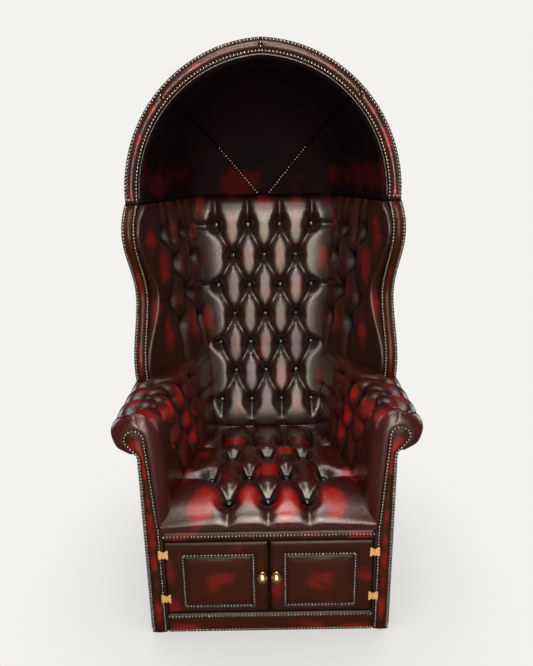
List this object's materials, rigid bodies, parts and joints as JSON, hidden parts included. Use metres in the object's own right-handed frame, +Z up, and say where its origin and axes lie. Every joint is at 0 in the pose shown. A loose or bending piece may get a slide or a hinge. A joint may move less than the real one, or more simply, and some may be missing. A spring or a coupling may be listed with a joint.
{
  "type": "hall porter chair",
  "caption": "Tall leather hall chair with a half-dome hood, tufted wings, back, arms and seat, and a cupboard with hinged doors under the seat.",
  "frame": {"origin": "on the floor, under the middle of the chair's box, door knobs included", "axes": "+Z up, the chair faces -Y, +X to the right of someone who looks at its front"},
  "size_m": [0.8394, 0.79, 1.6775],
  "materials": {
    "leather_cover": "hand-rubbed antique oxblood leather, glossy",
    "stuffed_leather": "hand-rubbed antique oxblood leather over stuffing, deep tufted",
    "leather_buttons": "leather-covered upholstery buttons",
    "beech_frame": "planed beech",
    "polished_brass": "polished"
  },
  "bodies": {
    "chair": {"back_buttons": "leather_buttons", "back_cover": "leather_cover", "back_frame": "beech_frame", "back_pad": "stuffed_leather", "crown_block": "beech_frame", "cupboard_back": "beech_frame", "cupboard_floor": "beech_frame", "door_stop": "beech_frame", "hood_cover_left_high": "leather_cover", "hood_cover_left_low": "leather_cover", "hood_cover_right_high": "leather_cover", "hood_cover_right_low": "leather_cover", "hood_hoop": "beech_frame", "hood_lining_left": "leather_cover", "hood_lining_middle": "leather_cover", "hood_lining_right": "leather_cover", "hood_ribs": "beech_frame", "left_arm_facing": "leather_cover", "left_arm_pad": "stuffed_leather", "left_base_side": "beech_frame", "left_frame_hinge_leaves": "polished_brass", "left_front_post": "beech_frame", "left_rear_post": "beech_frame", "left_rim_high": "leather_cover", "left_rim_low": "leather_cover", "left_side_cover": "leather_cover", "left_wing_cover": "leather_cover", "left_wing_facing": "leather_cover", "left_wing_frame": "beech_frame", "left_wing_pad": "stuffed_leather", "plinth_facing": "leather_cover", "plinth_rail": "beech_frame", "rear_rails": "beech_frame", "right_arm_facing": "leather_cover", "right_arm_pad": "stuffed_leather", "right_base_side": "beech_frame", "right_frame_hinge_leaves": "polished_brass", "right_front_post": "beech_frame", "right_rear_post": "beech_frame", "right_rim_high": "leather_cover", "right_rim_low": "leather_cover", "right_side_cover": "leather_cover", "right_wing_cover": "leather_cover", "right_wing_facing": "leather_cover", "right_wing_frame": "beech_frame", "right_wing_pad": "stuffed_leather", "seat_buttons": "leather_buttons", "seat_deck": "beech_frame", "seat_pad": "stuffed_leather", "seat_rail": "beech_frame", "seat_rail_facing": "leather_cover", "side_buttons": "leather_buttons"},
    "left_door": {"left_door_board": "beech_frame", "left_door_panel": "leather_cover", "left_door_knob": "polished_brass", "left_door_hinge_leaves": "polished_brass"},
    "right_door": {"right_door_board": "beech_frame", "right_door_panel": "leather_cover", "right_door_knob": "polished_brass", "right_door_hinge_leaves": "polished_brass"}
  },
  "joints": [
    {"name": "left_door_hinge", "type": "hinge", "parent": "chair", "child": "left_door", "pos_m": [-0.3045, -0.3696, 0.2], "axis": [0, 0, -1], "range_deg": [0, 110]},
    {"name": "right_door_hinge", "type": "hinge", "parent": "chair", "child": "right_door", "pos_m": [0.3045, -0.3696, 0.2], "axis": [0, 0, 1], "range_deg": [0, 110]}
  ]
}
